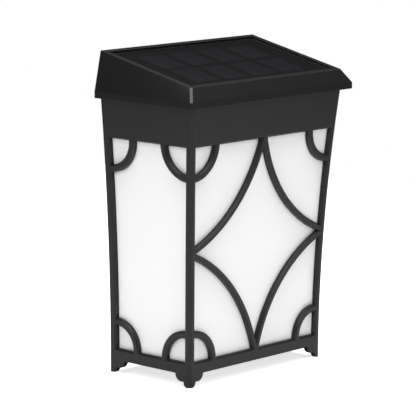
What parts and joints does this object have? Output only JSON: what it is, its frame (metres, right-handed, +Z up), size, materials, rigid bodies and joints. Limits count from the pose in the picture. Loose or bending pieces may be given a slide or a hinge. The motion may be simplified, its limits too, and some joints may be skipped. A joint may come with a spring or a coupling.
{
  "type": "solar fence lantern",
  "caption": "Solar half lantern for a fence or wall: flared black lattice housing, frosted diffuser and sloping solar roof.",
  "frame": {"origin": "on the ground plane of the feet, under the middle of the lantern's box; the fence plane is the flat back at y = +33.95 mm", "axes": "+Z up, -Y out of the front, +X to the right seen from the front"},
  "size_m": [0.1264, 0.068, 0.17],
  "materials": {
    "housing_plastic": "satin black moulded plastic with a faint texture",
    "roof_plastic": "satin black moulded plastic",
    "back_plastic": "matte black moulded plastic",
    "frosted_plastic": "frosted white translucent plastic",
    "white_sheet": "white reflecting sheet",
    "panel_board": "black laminated board",
    "solar_cell": "dark silicon cell",
    "panel_face": "clear resin face",
    "sealant": "black sealing bead",
    "tray_plastic": "white moulded plastic",
    "lamp_board": "white coated aluminium board",
    "lamp_chip": "lamp chip with yellow phosphor",
    "holder_plastic": "black holder",
    "battery_wrap": "plain green wrapped can",
    "contact_metal": "nickel plated strip",
    "circuit_board": "green solder mask",
    "chip_black": "black chip body",
    "ferrite": "dark ferrite drum",
    "can_metal": "bare aluminium can",
    "connector_plastic": "cream connector body",
    "switch_plastic": "black switch body",
    "stem_plastic": "pale stem",
    "button_rubber": "black rubber cap",
    "screw_steel": "zinc plated steel",
    "red_insulation": "red wire insulation",
    "black_insulation": "black wire insulation",
    "grey_insulation": "grey wire insulation"
  },
  "bodies": {
    "lantern": {"lantern_frame": "housing_plastic", "diffuser": "frosted_plastic", "back_plate": "back_plastic", "back_reflector": "white_sheet", "roof_shell": "roof_plastic", "panel_board": "panel_board", "solar_cells": "solar_cell", "panel_face": "panel_face", "panel_seal": "sealant", "light_tray": "tray_plastic", "led_board": "lamp_board", "led_chips": "lamp_chip", "battery_holder": "holder_plastic", "battery_cell": "battery_wrap", "positive_contact": "contact_metal", "negative_contact": "contact_metal", "control_board": "circuit_board", "driver_chip": "chip_black", "choke_coil": "ferrite", "capacitor": "can_metal", "lead_connectors": "connector_plastic", "switch_body": "switch_plastic", "switch_pins": "contact_metal", "roof_screws": "screw_steel", "back_screws": "screw_steel", "board_screws": "screw_steel", "led_screws": "screw_steel", "red_leads": "red_insulation", "black_leads": "black_insulation", "switch_leads": "grey_insulation"},
    "button": {"mode_button": "button_rubber", "switch_stem": "stem_plastic"}
  },
  "joints": [
    {"name": "button_press", "type": "slide", "parent": "lantern", "child": "button", "axis": [0, -1, 0], "range_m": [0, 0.0015], "stiffness_N_per_m": 900, "springref_m": -0.0005}
  ]
}
